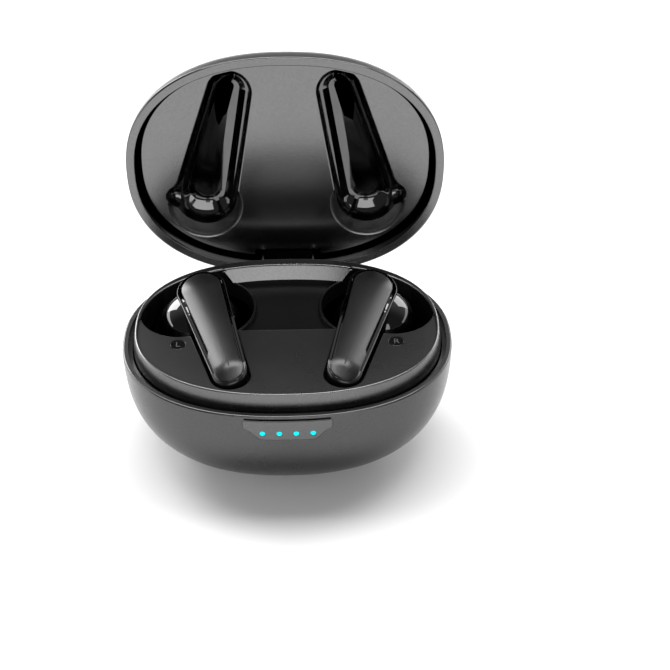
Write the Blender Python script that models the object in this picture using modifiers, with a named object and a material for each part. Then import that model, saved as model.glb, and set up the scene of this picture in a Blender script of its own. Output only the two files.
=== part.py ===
"""Wireless earbuds case: an oval charging case, shown open, with two earbuds in it.

Blender 4.5 script. It can be run with: blender --background --python part.py
All driving sizes are in millimetres and become metres through MM. X points to the
right, Y to the back (the hinge side) and Z up. The origin is at the centre of the
flat foot of the base.
"""
import math

import bmesh
import bpy
from mathutils import Matrix, Vector

MM = 0.001

# ---- driving sizes (mm) ----
HALF_X = 31.0                 # half width of the case at the parting plane
HALF_Y = 23.5                 # half depth of the case at the parting plane
PLAN_POWER = 2.3              # superellipse power of the oval plan
BASE_H = 23.0                 # height of the base's parting plane
RIM_GAP = 0.3                 # gap between the base and the shut lid
LID_H = 13.0                  # height of the lid above its rim plane
BOWL_POWER = 2.8              # roundness of the base's side
BOWL_REACH = 1.06             # depth of the full bowl over the base's height
DOME_POWER = 2.5              # roundness of the lid's side
DOME_REACH = 1.03             # depth of the full dome over the lid's height
GAP = 0.3                     # gap between neighbouring pieces
EDGE = 0.5                    # rounding of the base's and the lid's outer rim

BASE_WALL = 1.8               # base wall at the rim
BASE_FLOOR = 1.6              # base wall at the foot
LID_WALL = 1.7                # lid wall at the rim
LID_ROOF = 1.4                # lid wall at the top
LID_INNER_POWER = 3.0         # the lid's inside is boxier than its outside

LIP_TOP = 26.0                # top of the tray's raised lip
DECK_TOP = 25.5               # top of the deck
TRAY_BOTTOM = 20.1            # underside of the tray
TRAY_INSET = BASE_WALL + GAP  # the tray sits inside the base's wall
PAN_TOP = 22.5                # floor of the middle finger recess
PAN_HALF = 13.5               # half width of the middle recess, which the wells bound
RIM_TOP = 23.5                # top of the thin rims between the recess and the wells
RIM_WALL = 0.55               # thickness of those rims
TRENCH_FLOOR = 21.6           # floor of the stem trenches
RING_X = 27.8                 # inner outline of the tray's ring, half width
RING_Y = 19.1                 # inner outline of the tray's ring, half depth
SLOPE_RUN = 1.7               # the ring's inner wall slopes in by this much behind the recess
SLOPE_FOOT = 23.4             # height of that slope's foot
RECESS_FRONT = -1.0           # front edge of the middle recess

HINGE_Y = 22.27
HINGE_Z = 21.3
OPEN_ANGLE = 94.0             # degrees that the lid stands open
BARREL_R = 1.1
PIN_R = 0.6
PIN_BORE = 0.75
LEAF_HALF = 5.0               # half width of the lid's hinge leaf
BRACKET_OUT = 8.8             # outer ends of the base's knuckles
NOTCH_HALF = BRACKET_OUT + GAP
LINER_X = 28.4                # half width of the liner
LINER_Y = 21.0                # half depth of the liner
LINER_NOTCH = 6.75            # half width of the liner's notch for the leaf

LINER_Z = 26.5                # face of the lid liner, with the lid shut
LINER_THICK = 1.2

SEGMENTS = 48                 # corners of the oval sections
CAPSULE = 32                  # corners of the capsule sections
ROUND = 16                    # corners of small round pieces

# Earbud, left side. Two circles span the stem seen from above: the tip and the heel.
TIP = Vector((-10.35, -14.4))
TIP_R = 3.15
HEEL = Vector((-16.5, 8.2))
HEEL_R = 4.65
STEM_BOTTOM = 22.2
STEM_TOP = 28.6               # height of the face plate's top where y is 0
STEM_SLOPE = 0.07             # the stem rises towards the back
PLATE_THICK = 1.15
HEAD = Vector((-17.0, 6.3, 20.8))
HEAD_R = (8.2, 7.6, 6.8)
NOZZLE_AXIS = Vector((0.15, 0.08, -0.985)).normalized()
NOZZLE_R = 2.6
NOZZLE_BORE = 1.7
NOZZLE_END = 11.0             # end of the nozzle, from the head's centre
HEAD_WALL = 1.0

# Left groove of the lid liner, its side lobe and its dish: circles that span each outline.
GROOVE = ((-10.5, -15.1), 4.25, (-16.1, 6.9), 6.1)
LOBE = ((-21.5, 7.2), 2.3, (-14.3, 8.9), 3.6)
DISH = (-16.2, 8.9)
DISH_R = 7.6
DISH_DEPTH = 0.55
CAP_SPLIT = 1.5               # where the end cap meets the housing, along the stem
CONTACT_AT = (3.2, 6.7)       # places of the charging contacts along the stem
MAGNET_AT = 10.0              # place of the bud's magnet along the stem

# Bud well, left side. Two circles span each section: (height, circle a, circle b).
WELL_A = (-20.0, 4.8, 8.0)
WELL_B = (-16.3, 8.3, 9.8)
WELL_TOP = 19.8
WELL_SECTIONS = (
    (20.4, WELL_A, WELL_B),
    (14.0, (-19.0, 5.5, 7.0), (-16.2, 8.4, 9.4)),
    (9.5, (-16.5, 6.8, 6.3), (-15.2, 8.0, 7.4)),
    (7.3, (-15.5, 7.2, 5.2), (-14.8, 7.6, 6.0)),
    (6.3, (-15.2, 7.3, 3.4), (-14.8, 7.5, 4.0)),
)
WELL_WALL = 1.1

LED_PITCH = 3.0
LED_Z = 19.0
LED_R = 0.5


def clear_scene():
    for obj in list(bpy.data.objects):
        bpy.data.objects.remove(obj, do_unlink=True)


clear_scene()
PARTS = bpy.data.collections.new("earbuds_case")
CUTTERS = bpy.data.collections.new("cutters")
bpy.context.scene.collection.children.link(PARTS)
bpy.context.scene.collection.children.link(CUTTERS)


# ---- materials ----
def material(name, colour, roughness, metallic=0.0):
    mat = bpy.data.materials.new(name)
    mat.use_nodes = True
    shader = mat.node_tree.nodes["Principled BSDF"]
    shader.inputs["Base Color"].default_value = (*colour, 1.0)
    shader.inputs["Roughness"].default_value = roughness
    shader.inputs["Metallic"].default_value = metallic
    mat.diffuse_color = (*colour, 1.0)
    return mat


FINISH = {
    "satin": ((0.045, 0.045, 0.047), 0.35, 0.0),
    "matte": ((0.035, 0.035, 0.036), 0.6, 0.0),
    "gloss": ((0.008, 0.008, 0.008), 0.06, 0.0),
    "plate": ((0.06, 0.06, 0.062), 0.32, 0.0),
    "silicone": ((0.02, 0.02, 0.02), 0.45, 0.0),
    "lens": ((0.08, 0.08, 0.082), 0.25, 0.0),
    "led": ((0.0, 0.85, 0.9), 0.3, 0.0),
    "board": ((0.02, 0.12, 0.06), 0.5, 0.0),
    "cell": ((0.45, 0.47, 0.5), 0.4, 0.3),
    "copper": ((0.7, 0.35, 0.18), 0.35, 1.0),
    "ferrite": ((0.05, 0.045, 0.045), 0.7, 0.0),
    "steel": ((0.6, 0.6, 0.61), 0.3, 1.0),
    "gold": ((0.85, 0.62, 0.25), 0.25, 1.0),
    "magnet": ((0.65, 0.65, 0.67), 0.2, 1.0),
}


# ---- outlines ----
def oval(half_x, half_y, count=SEGMENTS):
    """Corners of a superellipse, anticlockwise from +X."""
    points = []
    for i in range(count):
        angle = 2.0 * math.pi * i / count
        c = math.cos(angle)
        s = math.sin(angle)
        x = half_x * math.copysign(abs(c) ** (2.0 / PLAN_POWER), c)
        y = half_y * math.copysign(abs(s) ** (2.0 / PLAN_POWER), s)
        points.append((x, y))
    return points


def capsule(centre_a, radius_a, centre_b, radius_b, count=CAPSULE):
    """Corners of the convex outline round two circles, by the angle of its normal."""
    points = []
    a = Vector(centre_a)
    b = Vector(centre_b)
    for i in range(count):
        angle = 2.0 * math.pi * i / count
        normal = Vector((math.cos(angle), math.sin(angle)))
        if normal.dot(a) + radius_a > normal.dot(b) + radius_b:
            point = a + normal * radius_a
        else:
            point = b + normal * radius_b
        points.append((point.x, point.y))
    return points


def flip(points, side):
    """Mirror an outline to the right side when side is +1; the left side is -1."""
    return [(-side * x, y) for x, y in points]


def level(points, z):
    return [(x, y, z) for x, y in points]


def at_side(point, side):
    """Mirror a point given for the left side."""
    return Vector((-side * point[0], *point[1:]))


def stem_height(y):
    return STEM_TOP + STEM_SLOPE * y


def stem_outline(grow=0.0):
    return capsule(TIP, TIP_R + grow, HEEL, HEEL_R + grow)


def stem_point(along):
    """A place on the left stem's centre line, that far from the tip's centre."""
    return TIP + (HEEL - TIP).normalized() * along


# ---- solids ----
def finish_object(name, bm, finish, cutter=False, smooth=True):
    bmesh.ops.recalc_face_normals(bm, faces=bm.faces)
    mesh = bpy.data.meshes.new(name)
    bm.to_mesh(mesh)
    bm.free()
    obj = bpy.data.objects.new(name, mesh)
    if cutter:
        CUTTERS.objects.link(obj)
        obj.hide_render = True
        obj.display_type = "WIRE"
        return obj
    PARTS.objects.link(obj)
    mesh.materials.append(material(name, *FINISH[finish]))
    if smooth:
        mesh.shade_smooth()
        mesh.set_sharp_from_angle(angle=math.radians(35))
    return obj


def loft(name, rings, finish=None, **options):
    """A closed solid through rings of equal count, with a flat cap at each end."""
    bm = bmesh.new()
    loops = [[bm.verts.new(Vector(p) * MM) for p in ring] for ring in rings]
    count = len(loops[0])
    for lower, upper in zip(loops, loops[1:]):
        for i in range(count):
            j = (i + 1) % count
            bm.faces.new((lower[i], lower[j], upper[j], upper[i]))
    bm.faces.new(loops[0][::-1])
    bm.faces.new(loops[-1])
    return finish_object(name, bm, finish, cutter=finish is None, **options)


def prism(name, outline, low, high, finish=None, **options):
    return loft(name, [level(outline, low), level(outline, high)], finish, **options)


def box(name, low, high, finish=None, bevel=0.0):
    bm = bmesh.new()
    low = Vector(low) * MM
    high = Vector(high) * MM
    size = high - low
    place = Matrix.Translation((low + high) / 2) @ Matrix.Diagonal((*size, 1.0))
    bmesh.ops.create_cube(bm, size=1.0, matrix=place)
    if bevel:
        bmesh.ops.bevel(bm, geom=bm.edges[:], offset=bevel * MM, segments=2, affect="EDGES",
                        profile=0.5)
    return finish_object(name, bm, finish, cutter=finish is None)


def cylinder(name, start, end, radius, finish=None, end_radius=None, segments=ROUND):
    """A round bar between two points."""
    start = Vector(start) * MM
    end = Vector(end) * MM
    axis = end - start
    turn = Vector((0, 0, 1)).rotation_difference(axis).to_matrix().to_4x4()
    top = radius if end_radius is None else end_radius
    bm = bmesh.new()
    bmesh.ops.create_cone(bm, cap_ends=True, segments=segments, radius1=radius * MM,
                          radius2=top * MM, depth=axis.length,
                          matrix=Matrix.Translation((start + end) / 2) @ turn)
    return finish_object(name, bm, finish, cutter=finish is None)


def ellipsoid(name, centre, radii, finish=None, segments=20, rings=12):
    bm = bmesh.new()
    place = Matrix.Translation(Vector(centre) * MM) @ Matrix.Diagonal((*[r * MM for r in radii], 1.0))
    bmesh.ops.create_uvsphere(bm, u_segments=segments, v_segments=rings, radius=1.0, matrix=place)
    return finish_object(name, bm, finish, cutter=finish is None)


def turned(name, profile, start, axis, finish, segments=ROUND):
    """A closed profile of (radius, distance along the axis), turned with a Screw modifier."""
    bm = bmesh.new()
    corners = [bm.verts.new((radius * MM, 0.0, along * MM)) for radius, along in profile]
    for first, second in zip(corners, corners[1:] + corners[:1]):
        bm.edges.new((first, second))
    mesh = bpy.data.meshes.new(name)
    bm.to_mesh(mesh)
    bm.free()
    mesh.materials.append(material(name, *FINISH[finish]))
    obj = bpy.data.objects.new(name, mesh)
    PARTS.objects.link(obj)
    obj.location = Vector(start) * MM
    obj.rotation_mode = "QUATERNION"
    obj.rotation_quaternion = Vector((0, 0, 1)).rotation_difference(Vector(axis))
    screw = obj.modifiers.new("turn", "SCREW")
    screw.axis = "Z"
    screw.steps = segments
    screw.render_steps = segments
    screw.use_merge_vertices = True
    screw.merge_threshold = 0.00001
    screw.use_smooth_shade = True
    return obj


def boolean(obj, other, operation="DIFFERENCE"):
    modifier = obj.modifiers.new(f"{operation.lower()}_{other.name}", "BOOLEAN")
    modifier.object = other
    modifier.operation = operation
    modifier.solver = "EXACT"
    return obj


def cut(obj, *cutters):
    for cutter in cutters:
        boolean(obj, cutter)
    return obj


def join(obj, *others):
    for other in others:
        boolean(obj, other, "UNION")
    return obj


def keep_inside(obj, other):
    return boolean(obj, other, "INTERSECT")


# ---- casing shapes ----
def section_scale(depth, full_depth, power):
    """Size of a bowl's section at a depth below its rim, against its rim."""
    return max(0.0, 1.0 - (depth / full_depth) ** power) ** (1.0 / power)


def bowl_rings(half_x, half_y, top, height, steps, downward, full_depth, power):
    """Sections of a bowl, closer together towards its far end."""
    rings = []
    for i in range(steps + 1):
        depth = height * math.sin(0.5 * math.pi * i / steps)
        scale = section_scale(depth, full_depth, power)
        z = top - depth if downward else top + depth
        rings.append(level(oval(half_x * scale, half_y * scale), z))
    return rings


def base_bowl(inset, floor, top_extra=0.0):
    """The base's inner space or, with no inset, its outside."""
    height = BASE_H - floor
    steps = 5 if inset else 7
    rings = bowl_rings(HALF_X - inset, HALF_Y - inset, BASE_H, height, steps, True,
                       height * BOWL_REACH, BOWL_POWER)
    if top_extra:
        rings.insert(0, level(oval(HALF_X - inset, HALF_Y - inset), BASE_H + top_extra))
    return rings


def lid_dome(inset, roof, power, reach, bottom_extra=0.0):
    top = BASE_H + RIM_GAP
    height = LID_H - roof
    steps = 5 if inset else 7
    rings = bowl_rings(HALF_X - inset, HALF_Y - inset, top, height, steps, False,
                       height * reach, power)
    if bottom_extra:
        rings.insert(0, level(oval(HALF_X - inset, HALF_Y - inset), top - bottom_extra))
    return rings


def soften_rim(rings, towards):
    """Replace a bowl's sharp rim by a small rounding of EDGE."""
    z = rings[0][0][2]
    inner = level(oval(HALF_X - EDGE, HALF_Y - EDGE), z)
    corner = EDGE * (1.0 - math.sqrt(0.5))
    middle = level(oval(HALF_X - corner, HALF_Y - corner), z + towards * corner)
    outer = level(oval(HALF_X, HALF_Y), z + towards * EDGE)
    return [inner, middle, outer] + rings[1:]


# ---- base ----
def make_base_shell():
    shell = loft("base_shell", soften_rim(base_bowl(0.0, 0.0), -1.0), "satin")
    cut(shell, loft("base_space", base_bowl(BASE_WALL, BASE_FLOOR, 2.0)))
    cut(shell, box("hinge_notch", (-NOTCH_HALF, 20.9, HINGE_Z - BARREL_R - GAP),
                   (NOTCH_HALF, 25.0, 26.0)))
    cut(shell, box("bracket_relief", (-NOTCH_HALF, 19.0, 15.2), (NOTCH_HALF, 21.2, 19.1)))
    cut(shell, box("ear_relief", (-NOTCH_HALF, 19.0, 18.8), (NOTCH_HALF, 21.6, 20.4)))
    cut(shell, box("thumb_groove", (-7.7, -25.0, 22.1), (7.7, -22.7, 22.5)))
    cut(shell, window_prism("window_opening", 0.0, -25.0, -18.0))
    cut(shell, box("port_opening", (-4.9, 18.0, 7.5), (4.9, 24.0, 11.5)))
    return shell


def window_prism(name, inset, y_low, y_high):
    """The LED window's outline with its lower corners cut off, run through the wall."""
    half = ((8.0 - inset, 21.8 - inset), (8.0 - inset, 20.3), (6.2 - 0.7 * inset, 18.0 + 0.7 * inset),
            (4.5, 17.5 + inset))
    outline = list(half) + [(-x, z) for x, z in reversed(half)]
    return loft(name, [[(x, y, z) for x, z in outline] for y in (y_low, y_high)])


def make_led_window():
    window = loft("led_window", base_bowl(0.0, 0.0), "lens")
    cut(window, loft("window_back", base_bowl(BASE_WALL, BASE_FLOOR, 2.0)))
    keep_inside(window, window_prism("window_outline", GAP, -25.0, -18.0))
    for i in range(4):
        x = (i - 1.5) * LED_PITCH
        cut(window, cylinder(f"led_bore_{i + 1}", (x, -26.0, LED_Z), (x, -18.0, LED_Z), LED_R + GAP))
        front = -HALF_Y * (1.0 - (abs(x) / HALF_X) ** PLAN_POWER) ** (1.0 / PLAN_POWER)
        cylinder(f"led_{i + 1}", (x, front + 0.15, LED_Z), (x, -20.4, LED_Z), LED_R, "led", segments=12)
    return window


def make_well(side):
    """A gloss cup under the tray that holds one bud's head and ear tip."""
    word = side_word(side)
    inner = [level(flip(capsule(a[:2], a[2], b[:2], b[2]), side), z) for z, a, b in WELL_SECTIONS]
    outer = [level(flip(capsule(a[:2], a[2] + WELL_WALL, b[:2], b[2] + WELL_WALL), side), z)
             for z, a, b in WELL_SECTIONS[:-1]]
    low = WELL_SECTIONS[-1]
    outer.append(level(flip(capsule(low[1][:2], low[1][2], low[2][:2], low[2][2]), side),
                       low[0] - WELL_WALL))
    inner[0] = [(x, y, WELL_TOP + 2.0) for x, y, z in inner[0]]
    outer[0] = [(x, y, WELL_TOP) for x, y, z in outer[0]]
    well = loft(f"bud_well_{word}", outer, "gloss")
    keep_inside(well, loft(f"well_limit_{word}", base_bowl(TRAY_INSET, BASE_FLOOR + GAP, 1.0)))
    space = loft(f"well_space_{word}", inner)
    keep_inside(space, loft(f"well_space_limit_{word}",
                            base_bowl(TRAY_INSET + WELL_WALL, BASE_FLOOR + GAP + WELL_WALL, 3.0)))
    return cut(well, space)


def make_tray():
    """Lip, deck and middle recess in one piece, with openings for the wells and the stems."""
    steps = ((TRAY_INSET, TRAY_BOTTOM), (TRAY_INSET, 24.6), (TRAY_INSET + 0.1, 25.4),
             (TRAY_INSET + 0.3, 25.8), (TRAY_INSET + 0.6, LIP_TOP))
    tray = loft("tray", [level(oval(HALF_X - inset, HALF_Y - inset), z) for inset, z in steps], "matte")
    deck_space = prism("deck_space", oval(HALF_X - TRAY_INSET - 0.9, HALF_Y - TRAY_INSET - 0.9),
                       DECK_TOP, 30.0)
    keep_inside(deck_space, box("deck_limit", (-40, -40, 20), (40, 2.0, 40)))
    cut(tray, deck_space)
    ring_inside = oval(RING_X, RING_Y)
    cut(tray, finger_recess())
    for side in (-1, 1):
        word = side_word(side)
        rim = prism(f"well_rim_{word}", well_plan(side, RIM_WALL), TRAY_BOTTOM + 0.6, RIM_TOP)
        join(tray, keep_inside(rim, prism(f"rim_limit_{word}", oval(RING_X + 0.5, RING_Y + 0.5), 10.0, 40.0)))
    for side in (-1, 1):
        word = side_word(side)
        opening = prism(f"well_opening_{word}", well_plan(side), 15.0, 30.0)
        keep_inside(opening, prism(f"opening_limit_{word}", ring_inside, 10.0, 40.0))
        cut(tray, opening)
        middle = stem_point(17.0)
        trench = prism(f"trench_{word}", flip(capsule(TIP, TIP_R + 0.85, middle, TIP_R + 1.6), side),
                       TRENCH_FLOOR, 30.0)
        cut(tray, trench)
        mark = at_side((-20.2, -5.6), side)
        cut(tray, cylinder(f"mark_seat_{word}", (*mark, 24.6), (*mark, 27.0), 1.7))
        closer = at_side((-20.0, -11.0), side)
        cut(tray, cylinder(f"closer_seat_{word}", (*closer, 18.0), (*closer, 24.2), 1.9))
        for i, along in enumerate(CONTACT_AT):
            spot = at_side(stem_point(along), side)
            cut(tray, cylinder(f"pin_bore_{word}_{i + 1}", (*spot, 18.0), (*spot, 23.0), 0.85, segments=12))
    cut(tray, box("deck_core", (-5.0, -17.0, 15.0), (5.0, RECESS_FRONT - 1.4, 24.2)))
    cut(tray, box("tray_hinge_space", (-NOTCH_HALF, 20.4, 15.0), (NOTCH_HALF, 25.0, 22.75)))
    return tray


def well_plan(side, grow=0.0):
    """Outline of the opening over one well."""
    return flip(capsule(WELL_A[:2], WELL_A[2] + grow, WELL_B[:2], WELL_B[2] + grow), side)


def finger_recess():
    """Cutter for the space between the buds, with a sloping wall at the back."""
    recess = box("finger_space", (-PAN_HALF, RECESS_FRONT, PAN_TOP), (PAN_HALF, 22.0, 30.0))
    above = 0.6
    flare = SLOPE_RUN * above / (LIP_TOP - SLOPE_FOOT)
    foot = oval(RING_X - SLOPE_RUN, RING_Y - SLOPE_RUN)
    mouth = oval(RING_X + flare, RING_Y + flare)
    limit = loft("recess_limit", [level(foot, 10.0), level(foot, SLOPE_FOOT), level(mouth, LIP_TOP + above),
                                  level(mouth, 40.0)])
    return keep_inside(recess, limit)


def make_side_mark(side):
    spot = at_side((-20.2, -5.6), side)
    return cylinder(f"side_mark_{side_word(side)}", (*spot, 24.9), (*spot, 25.4), 1.4, "gloss")


def make_power_parts():
    battery = box("battery_cell", (-12.0, -13.0, 4.4), (12.0, -5.0, 16.2), "cell", bevel=0.8)
    board = box("main_board", (-15.0, -19.0, 16.8), (15.0, -7.0, 17.8), "board")
    turned("charging_coil", ((10.0, 2.55), (10.0, 1.95), (5.0, 1.95), (5.0, 2.55)),
           (0, 0, 0), (0, 0, 1), "copper", segments=32)
    cylinder("ferrite_sheet", (0, 0, 2.85), (0, 0, 3.45), 11.0, "ferrite", segments=32)
    return battery, board


def make_port():
    """USB-C receptacle at the back, under the hinge, with its contact tongue."""
    half_x, half_z, wall, z = 4.47, 1.63, 0.3, 9.5
    low_y, high_y = 13.6, 20.9
    def flat_round(name, inset, y_low, y_high, finish=None):
        radius = half_z - inset
        outline = capsule((-(half_x - half_z), 0.0), radius, (half_x - half_z, 0.0), radius, 20)
        return loft(name, [[(x, y, z + h) for x, h in outline] for y in (y_low, y_high)], finish)
    shell = flat_round("usb_c_shell", 0.0, low_y, high_y, "steel")
    cut(shell, flat_round("port_space", wall, low_y + 0.5, high_y + 1.0))
    tongue = box("usb_c_tongue", (-2.6, low_y + 0.8, z - 0.9), (2.6, low_y + 2.4, z + 0.9), "ferrite")
    join(tongue, box("tongue_blade", (-3.3, low_y + 2.0, z - 0.35), (3.3, high_y - 0.6, z + 0.35)))
    return shell, tongue


def make_pin_set(side):
    """Two sprung charging pins under one stem and the block that guides them."""
    word = side_word(side)
    middle = at_side(stem_point(sum(CONTACT_AT) / 2), side)
    block = box(f"pin_block_{word}", (middle.x - 2.2, middle.y - 3.2, 18.1),
                (middle.x + 2.2, middle.y + 3.2, 19.8), "matte")
    for i, along in enumerate(CONTACT_AT):
        spot = at_side(stem_point(along), side)
        cut(block, cylinder(f"block_bore_{word}_{i + 1}", (*spot, 17.0), (*spot, 21.0), 0.85, segments=12))
        turned(f"charge_pin_{word}_{i + 1}",
               ((0.0, 3.2), (0.3, 3.15), (0.5, 2.95), (0.5, 0.0), (0.0, 0.0)),
               (*spot, 18.65), (0, 0, 1), "gold", segments=12)


def make_base_magnets(side):
    word = side_word(side)
    closer = at_side((-20.0, -11.0), side)
    cylinder(f"case_magnet_{word}", (*closer, 20.6), (*closer, 23.9), 1.6, "magnet")
    seat = at_side(stem_point(MAGNET_AT), side)
    box(f"seat_magnet_{word}", (seat.x - 1.4, seat.y - 1.4, 18.1),
        (seat.x + 1.4, seat.y + 1.4, 19.8), "magnet")


# ---- hinge ----
def yz_prism(name, outline, x_low, x_high, finish=None):
    return loft(name, [[(x, y, z) for y, z in outline] for x in (x_low, x_high)], finish)


def make_hinge():
    """Bracket with two knuckles on the base, a pin, and a leaf with one knuckle on the lid."""
    axis_low = (-NOTCH_HALF + GAP, HINGE_Y, HINGE_Z)
    bracket = box("hinge_bracket", (-BRACKET_OUT, 20.2, 15.5), (BRACKET_OUT, 20.9, 19.8), "steel")
    ear_profile = ((20.2, 19.2), (20.9, 19.2), (21.3, 19.85), (21.3, 20.3), (22.3, 20.3),
                   (22.3, 21.3), (20.8, 21.3), (20.8, 20.1), (20.2, 19.8))
    for sign, word in ((-1, "left"), (1, "right")):
        ends = sorted((sign * (LEAF_HALF + 0.4), sign * BRACKET_OUT))
        join(bracket, yz_prism(f"ear_{word}", ear_profile, *ends))
        join(bracket, cylinder(f"knuckle_{word}", (ends[0], HINGE_Y, HINGE_Z),
                               (ends[1], HINGE_Y, HINGE_Z), BARREL_R))
    cut(bracket, cylinder("bracket_bore", (-20, HINGE_Y, HINGE_Z), (20, HINGE_Y, HINGE_Z), PIN_BORE))
    cylinder("hinge_pin", axis_low, (NOTCH_HALF - GAP, HINGE_Y, HINGE_Z), PIN_R, "steel")
    leaf_profile = ((21.75, 21.3), (22.4, 21.3), (22.4, 25.5), (22.0, 25.9), (22.0, 27.4), (19.9, 27.4),
                    (19.9, 26.5), (21.75, 26.5))
    leaf = yz_prism("lid_hinge_leaf", leaf_profile, -LEAF_HALF, LEAF_HALF, "steel")
    join(leaf, cylinder("leaf_barrel", (-LEAF_HALF, HINGE_Y, HINGE_Z), (LEAF_HALF, HINGE_Y, HINGE_Z),
                        BARREL_R))
    cut(leaf, cylinder("leaf_bore", (-20, HINGE_Y, HINGE_Z), (20, HINGE_Y, HINGE_Z), PIN_BORE))
    return leaf


# ---- lid (modelled shut, then turned open about the hinge) ----
def make_lid_shell():
    shell = loft("lid_shell", soften_rim(lid_dome(0.0, 0.0, DOME_POWER, DOME_REACH), 1.0), "satin")
    cut(shell, loft("lid_space", lid_dome(LID_WALL, LID_ROOF, LID_INNER_POWER, DOME_REACH, 2.0)))
    pocket_half = LEAF_HALF + GAP
    cut(shell, box("arm_pocket", (-pocket_half, 19.0, 20.0), (pocket_half, 22.7, 26.0)))
    cut(shell, box("flange_pocket", (-pocket_half, 19.0, 25.0), (pocket_half, 22.3, 27.7)))
    return shell


def recess_capsules(side, grow=0.0):
    """The stem's groove and the heel's side lobe."""
    outlines = []
    for a, a_r, b, b_r in (GROOVE, LOBE):
        outlines.append(flip(capsule(a, a_r + grow, b, b_r + grow), side))
    return outlines


def recess_roof(outline, low, lift):
    """A cutter or tub with a roof that follows the lid's dome."""
    return [level(outline, low), [(x, y, 30.0 + lift + 0.09 * y) for x, y in outline]]


def make_lid_liner():
    """Inner face of the lid with a groove for each stem and a dish for each bud's head."""
    outline = oval(LINER_X, LINER_Y)
    liner = prism("lid_liner", outline, LINER_Z, LINER_Z + LINER_THICK, "satin")
    limit = loft("liner_limit", lid_dome(LID_WALL + GAP + 0.1, LID_ROOF + GAP, LID_INNER_POWER,
                                         DOME_REACH, 2.0))
    for side in (-1, 1):
        word = side_word(side)
        for i, tub in enumerate(recess_capsules(side, 1.0)):
            outer = loft(f"tub_{word}_{i + 1}", recess_roof(tub, LINER_Z + 0.4, 1.0))
            join(liner, keep_inside(outer, limit))
    for side in (-1, 1):
        word = side_word(side)
        for i, hollow in enumerate(recess_capsules(side)):
            space = loft(f"groove_{word}_{i + 1}", recess_roof(hollow, 20.0, 0.0))
            cut(liner, keep_inside(space, loft(f"groove_limit_{word}_{i + 1}", lid_dome(
                LID_WALL + GAP + 0.9, LID_ROOF + GAP + 0.9, LID_INNER_POWER, DOME_REACH, 4.0))))
        dish = at_side(DISH, side)
        cut(liner, cylinder(f"dish_{word}", (*dish, 20.0), (*dish, LINER_Z + DISH_DEPTH), DISH_R, segments=32))
    cut(liner, box("liner_notch", (-LINER_NOTCH, 19.4, 20.0), (LINER_NOTCH, 30.0, 40.0)))
    return liner


def make_lid_magnet(side):
    spot = at_side((-20.0, -11.0), side)
    return cylinder(f"lid_magnet_{side_word(side)}", (*spot, 28.1), (*spot, 30.1), 1.6, "magnet")


def make_lid():
    hinge = bpy.data.objects.new("lid_hinge_axis", None)
    CUTTERS.objects.link(hinge)
    hinge.location = Vector((0.0, HINGE_Y, HINGE_Z)) * MM
    pieces = [make_lid_shell(), make_lid_liner(), make_hinge()]
    pieces += [make_lid_magnet(side) for side in (-1, 1)]
    hang_on(hinge, pieces)
    hinge.rotation_euler = (-math.radians(OPEN_ANGLE), 0.0, 0.0)


def hang_on(parent, pieces):
    """Parent pieces and every cutter that they use, without moving them."""
    inverse = Matrix.Translation(-parent.location)
    waiting = list(pieces)
    done = set()
    while waiting:
        piece = waiting.pop()
        if piece.name in done:
            continue
        done.add(piece.name)
        piece.parent = parent
        piece.matrix_parent_inverse = inverse
        waiting += [m.object for m in piece.modifiers if m.type == "BOOLEAN"]


# ---- earbuds ----
def side_word(side):
    return "left" if side < 0 else "right"


def stem_rings(side, steps):
    """Stem sections. Each step is (inset, height) or (inset, drop below the sloping top)."""
    rings = []
    for inset, mode, value in steps:
        outline = stem_outline(-inset)
        ring = [(x, y, value if mode == "flat" else stem_height(y) - value) for x, y in outline]
        rings.append([(-side * x, y, z) for x, y, z in ring])
    return rings


def half_space(name, side, along, keep_tip):
    """A block on one side of the plane across the stem at a distance from the tip's centre."""
    u = (HEEL - TIP).normalized()
    across = Vector((-u.y, u.x))
    start = TIP + u * along
    far = start + u * (-20.0 if keep_tip else 45.0)
    outline = [start + across * 20, start - across * 20, far - across * 20, far + across * 20]
    return prism(name, flip([(p.x, p.y) for p in outline], side), 21.0, 35.0)


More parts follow.
